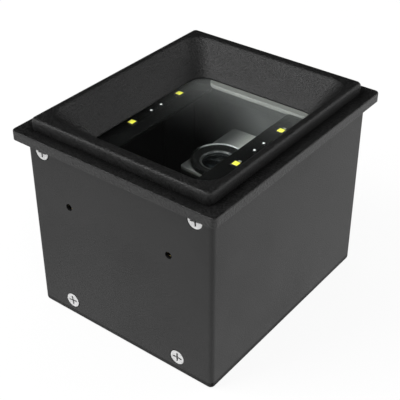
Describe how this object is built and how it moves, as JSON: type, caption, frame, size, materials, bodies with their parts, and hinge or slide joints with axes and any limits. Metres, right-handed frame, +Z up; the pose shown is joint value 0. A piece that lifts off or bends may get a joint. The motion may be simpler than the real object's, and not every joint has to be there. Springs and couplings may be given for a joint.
{
  "type": "fixed barcode reader",
  "caption": "Box-shaped built-in barcode reader with a flanged top, a sloped recess around a glass reading window, light boards and a camera under the glass, and a cable socket at the rear.",
  "frame": {"origin": "middle of the body's base, on the surface it stands on", "axes": "+Z up through the reading window, Y along the body's longer side with the plain end of small threaded holes at -Y and the cable socket at +Y, X across"},
  "size_m": [0.0676, 0.0786, 0.0626],
  "materials": {
    "body_plastic": "dark grey, fine grain",
    "bezel_plastic": "black, fine grain",
    "gasket_rubber": "matte black",
    "window_glass": "clear, polished",
    "light_plastic": "light grey moulding",
    "screen_grey": "matte mid grey",
    "board_dark": "dark solder mask",
    "board_green": "green solder mask",
    "led_white": "white package",
    "led_yellow": "yellow phosphor",
    "sensor_clear": "clear dome",
    "cable_film": "flat cable film",
    "connector_plastic": "black moulding",
    "lens_black": "black anodised",
    "ring_grey": "dark grey anodised",
    "lens_glass": "coated lens",
    "chip_black": "black mould compound",
    "can_aluminium": "bright can",
    "tray_steel": "plated sheet",
    "brass": "plain",
    "screw_steel": "nickel plated"
  },
  "bodies": {
    "root": {"housing": "body_plastic", "thread_inserts": "brass", "bezel": "bezel_plastic", "window_gasket": "gasket_rubber", "window_glass": "window_glass", "rear_glass_clamp": "light_plastic", "front_glass_clamp": "light_plastic", "clamp_screws": "screw_steel", "led_board_right": "board_dark", "led_board_left": "board_dark", "led_board_screws": "screw_steel", "led_bodies": "led_white", "led_phosphors": "led_yellow", "object_sensors": "sensor_clear", "led_cable_right": "cable_film", "led_cable_left": "cable_film", "led_connectors": "connector_plastic", "lens_mount": "light_plastic", "lens_barrel": "lens_black", "lens_ring": "ring_grey", "front_lens": "lens_glass", "rear_lens": "lens_glass", "image_sensor": "chip_black", "sensor_cover": "lens_glass", "camera_board": "board_dark", "light_screen": "screen_grey", "camera_standoffs": "brass", "camera_screws": "screw_steel", "camera_cable": "cable_film", "camera_connectors": "connector_plastic", "tray": "tray_steel", "board_posts": "brass", "board_screws": "screw_steel", "main_board": "board_green", "processor": "chip_black", "memory_chips": "chip_black", "beeper": "chip_black", "capacitors": "can_aluminium", "inductor": "chip_black", "cable_socket": "connector_plastic", "socket_contacts": "brass", "bezel_screws": "screw_steel", "tray_screws": "screw_steel"}
  },
  "joints": []
}
